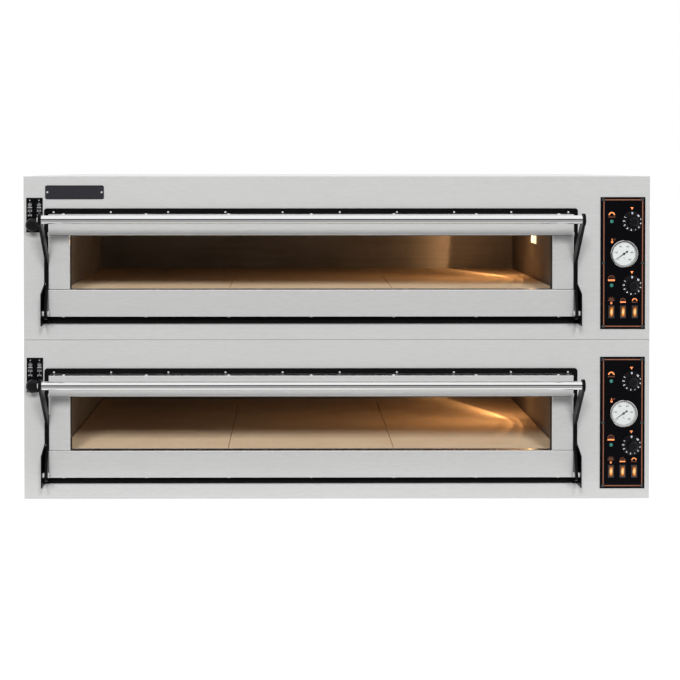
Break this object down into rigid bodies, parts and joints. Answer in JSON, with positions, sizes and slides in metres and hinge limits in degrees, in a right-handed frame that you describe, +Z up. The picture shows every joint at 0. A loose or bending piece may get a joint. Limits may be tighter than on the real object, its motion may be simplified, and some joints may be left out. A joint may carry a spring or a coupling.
{
  "type": "double-deck electric pizza oven",
  "caption": "Wide stainless deck oven: stacked baking chambers with drop-down glass doors, bar handles, dampers and side control plates, for baking pizzas on stone.",
  "frame": {"origin": "middle of the overall box, on the surface the feet stand on", "axes": "+X to the right seen from the front, +Y to the rear, +Z up"},
  "size_m": [1.3748, 1.025, 0.743],
  "materials": {
    "stainless": "satin brushed stainless steel",
    "handle_chrome": "polished tube",
    "bright_fasteners": "plain bright steel",
    "dark_fasteners": "blackened steel",
    "bezel_chrome": "polished bezel",
    "black_enamel": "satin black stove enamel",
    "control_black": "satin black printed plate",
    "black_plastic": "matte black heat-proof plastic",
    "name_plate": "bare dark plate",
    "chamber_sheet": "heat-stained dark sheet steel",
    "baking_stone": "fired clay stone, sanded",
    "mineral_wool": "pressed mineral wool",
    "element_sheath": "heat-blued steel sheath",
    "lamp_glass": "lit warm glass",
    "clear_glass": "clear tempered glass",
    "seal_rope": "woven glass-fibre seal",
    "thermostat_body": "pale moulded body",
    "dial_white": "printed white dial",
    "needle_black": "black lacquered needle",
    "pilot_green": "green lens, unlit",
    "amber_rocker": "lit translucent amber",
    "foot_rubber": "moulded rubber foot"
  },
  "bodies": {
    "casing": {"base_tray": "stainless", "feet": "foot_rubber", "left_side_panel": "stainless", "right_side_panel": "stainless", "rear_panel": "stainless", "top_panel": "stainless", "deck_divider": "stainless", "upper_front_panel": "stainless", "lower_front_panel": "stainless", "name_plate": "name_plate", "casing_screws": "bright_fasteners", "door_surrounds": "black_enamel", "door_seals": "seal_rope", "chamber_liners": "chamber_sheet", "insulation": "mineral_wool", "baking_stones": "baking_stone", "heating_elements": "element_sheath", "lamp_holders": "bright_fasteners", "lamp_lenses": "lamp_glass", "control_plates": "control_black", "trim_screws": "dark_fasteners", "thermostats": "thermostat_body", "gauge_cases": "bezel_chrome", "gauge_dials": "dial_white", "gauge_glasses": "clear_glass", "pilot_lamps": "pilot_green", "switch_housings": "black_plastic", "damper_plates": "control_black", "hinge_brackets": "black_enamel", "hinge_pins": "bright_fasteners", "flue_ducts": "stainless", "cable_gland": "black_plastic"},
    "upper_door": {"upper_door_frame": "stainless", "upper_door_liner": "stainless", "upper_door_glass": "clear_glass", "upper_handle_bar": "handle_chrome", "upper_handle_arms": "black_enamel", "upper_door_screws": "bright_fasteners"},
    "upper_damper": {"upper_damper_knob": "black_plastic", "upper_damper_rod": "bright_fasteners"},
    "upper_top_heat": {"upper_top_heat_knob": "black_plastic"},
    "upper_base_heat": {"upper_base_heat_knob": "black_plastic"},
    "upper_light_rocker": {"upper_light_switch": "amber_rocker"},
    "upper_base_rocker": {"upper_base_switch": "amber_rocker"},
    "upper_top_rocker": {"upper_top_switch": "amber_rocker"},
    "upper_needle": {"upper_gauge_needle": "needle_black"},
    "lower_door": {"lower_door_frame": "stainless", "lower_door_liner": "stainless", "lower_door_glass": "clear_glass", "lower_handle_bar": "handle_chrome", "lower_handle_arms": "black_enamel", "lower_door_screws": "bright_fasteners"},
    "lower_damper": {"lower_damper_knob": "black_plastic", "lower_damper_rod": "bright_fasteners"},
    "lower_top_heat": {"lower_top_heat_knob": "black_plastic"},
    "lower_base_heat": {"lower_base_heat_knob": "black_plastic"},
    "lower_light_rocker": {"lower_light_switch": "amber_rocker"},
    "lower_base_rocker": {"lower_base_switch": "amber_rocker"},
    "lower_top_rocker": {"lower_top_switch": "amber_rocker"},
    "lower_needle": {"lower_gauge_needle": "needle_black"}
  },
  "joints": [
    {"name": "upper_door_hinge", "type": "hinge", "parent": "casing", "child": "upper_door", "pos_m": [-0.05675, -0.4185, 0.447], "axis": [1, 0, 0], "range_deg": [0, 90]},
    {"name": "upper_damper_slide", "type": "slide", "parent": "casing", "child": "upper_damper", "axis": [0, -1, 0], "range_m": [0, 0.06]},
    {"name": "upper_top_heat_turn", "type": "hinge", "parent": "casing", "child": "upper_top_heat", "pos_m": [0.6449, -0.3725, 0.644], "axis": [0, 1, 0], "range_deg": [0, 315]},
    {"name": "upper_base_heat_turn", "type": "hinge", "parent": "casing", "child": "upper_base_heat", "pos_m": [0.6449, -0.3725, 0.5041], "axis": [0, 1, 0], "range_deg": [0, 315]},
    {"name": "upper_light_rock", "type": "hinge", "parent": "casing", "child": "upper_light_rocker", "pos_m": [0.6005, -0.3735, 0.4463], "axis": [1, 0, 0], "range_deg": [-16, 0]},
    {"name": "upper_base_rock", "type": "hinge", "parent": "casing", "child": "upper_base_rocker", "pos_m": [0.626, -0.3735, 0.4463], "axis": [1, 0, 0], "range_deg": [-16, 0]},
    {"name": "upper_top_rock", "type": "hinge", "parent": "casing", "child": "upper_top_rocker", "pos_m": [0.6515, -0.3735, 0.4463], "axis": [1, 0, 0], "range_deg": [-16, 0]},
    {"name": "upper_needle_turn", "type": "hinge", "parent": "casing", "child": "upper_needle", "pos_m": [0.6278, -0.3765, 0.5733], "axis": [0, 1, 0], "range_deg": [-10, 260], "stiffness_Nm_per_rad": 0.0002},
    {"name": "lower_door_hinge", "type": "hinge", "parent": "casing", "child": "lower_door", "pos_m": [-0.05675, -0.4185, 0.097], "axis": [1, 0, 0], "range_deg": [0, 90]},
    {"name": "lower_damper_slide", "type": "slide", "parent": "casing", "child": "lower_damper", "axis": [0, -1, 0], "range_m": [0, 0.06]},
    {"name": "lower_top_heat_turn", "type": "hinge", "parent": "casing", "child": "lower_top_heat", "pos_m": [0.6449, -0.3725, 0.294], "axis": [0, 1, 0], "range_deg": [0, 315]},
    {"name": "lower_base_heat_turn", "type": "hinge", "parent": "casing", "child": "lower_base_heat", "pos_m": [0.6449, -0.3725, 0.1541], "axis": [0, 1, 0], "range_deg": [0, 315]},
    {"name": "lower_light_rock", "type": "hinge", "parent": "casing", "child": "lower_light_rocker", "pos_m": [0.6005, -0.3735, 0.0963], "axis": [1, 0, 0], "range_deg": [-16, 0]},
    {"name": "lower_base_rock", "type": "hinge", "parent": "casing", "child": "lower_base_rocker", "pos_m": [0.626, -0.3735, 0.0963], "axis": [1, 0, 0], "range_deg": [-16, 0]},
    {"name": "lower_top_rock", "type": "hinge", "parent": "casing", "child": "lower_top_rocker", "pos_m": [0.6515, -0.3735, 0.0963], "axis": [1, 0, 0], "range_deg": [-16, 0]},
    {"name": "lower_needle_turn", "type": "hinge", "parent": "casing", "child": "lower_needle", "pos_m": [0.6278, -0.3765, 0.2233], "axis": [0, 1, 0], "range_deg": [-10, 260], "stiffness_Nm_per_rad": 0.0002}
  ]
}
